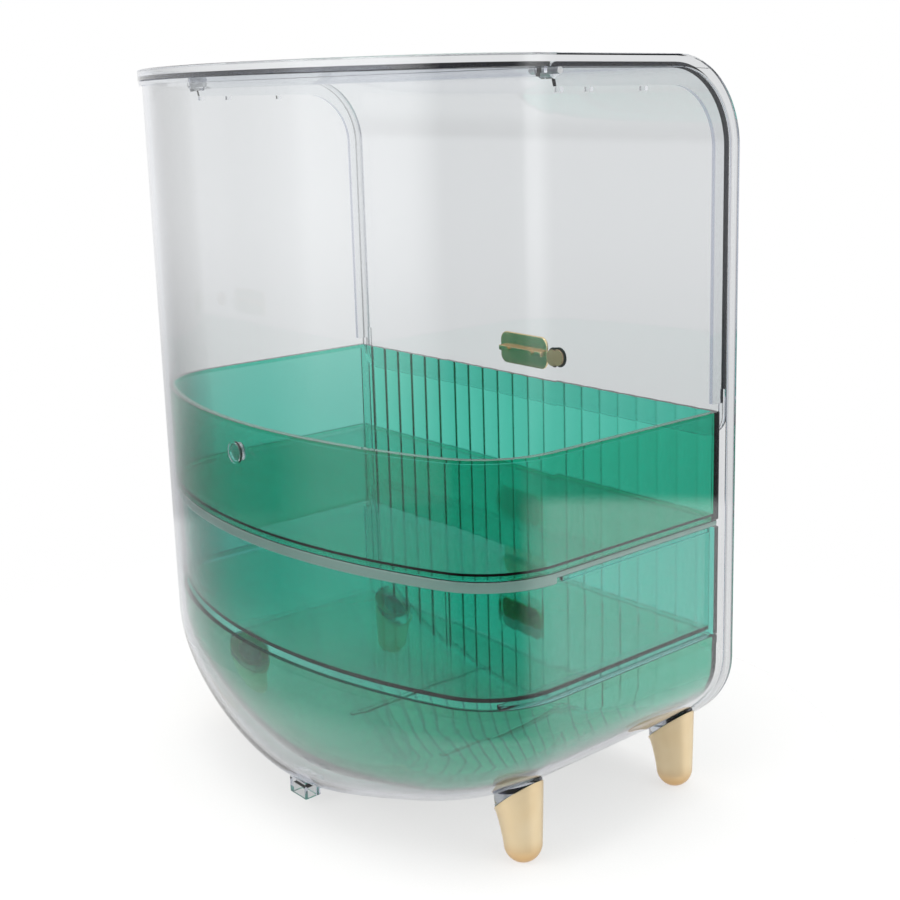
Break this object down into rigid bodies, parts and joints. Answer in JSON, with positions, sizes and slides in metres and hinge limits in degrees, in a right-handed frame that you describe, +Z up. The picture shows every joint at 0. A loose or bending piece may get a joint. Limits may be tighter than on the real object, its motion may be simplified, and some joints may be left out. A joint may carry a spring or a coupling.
{
  "type": "dustproof makeup organizer",
  "caption": "Clear bow-backed countertop organizer on slim gold legs, with a flip-up lid over an open green tray and fluted green drawers that slide out below.",
  "frame": {"origin": "on the table, under the middle of the whole object's box", "axes": "+Z up, -Y to the front where the lid and drawers open, +X to the object's right as seen from the back"},
  "size_m": [0.298, 0.1958, 0.371],
  "materials": {
    "clear_plastic": "polished clear moulded plastic",
    "lid_plastic": "polished clear moulded plastic",
    "green_plastic": "transparent green moulded plastic",
    "gold_metal": "polished pale gold plating",
    "gold_plating": "satin pale gold plating on plastic",
    "pin_steel": "plain drawn pin",
    "soft_dot": "clear soft silicone"
  },
  "bodies": {
    "organizer": {"shell": "clear_plastic", "rear_deck": "clear_plastic", "rear_bumper": "soft_dot", "upper_shelf": "clear_plastic", "left_rail": "clear_plastic", "right_rail": "clear_plastic", "top_tray": "green_plastic", "front_left_leg": "gold_plating", "front_right_leg": "gold_plating", "rear_left_leg": "gold_plating", "rear_right_leg": "gold_plating"},
    "lid": {"lid": "lid_plastic", "left_hinge_pin": "pin_steel", "right_hinge_pin": "pin_steel", "lid_pull": "gold_metal", "lid_stud": "gold_metal", "lid_stud_washer": "gold_metal"},
    "middle_drawer": {"middle_drawer": "green_plastic", "middle_drawer_pull": "gold_metal"},
    "bottom_drawer": {"bottom_drawer": "green_plastic", "bottom_drawer_pull": "gold_metal"}
  },
  "joints": [
    {"name": "lid_hinge", "type": "hinge", "parent": "organizer", "child": "lid", "pos_m": [0, 0.0199, 0.364], "axis": [-1, 0, 0], "range_deg": [0, 100]},
    {"name": "middle_drawer_slide", "type": "slide", "parent": "organizer", "child": "middle_drawer", "axis": [0, -1, 0], "range_m": [0, 0.13]},
    {"name": "bottom_drawer_slide", "type": "slide", "parent": "organizer", "child": "bottom_drawer", "axis": [0, -1, 0], "range_m": [0, 0.13]}
  ]
}
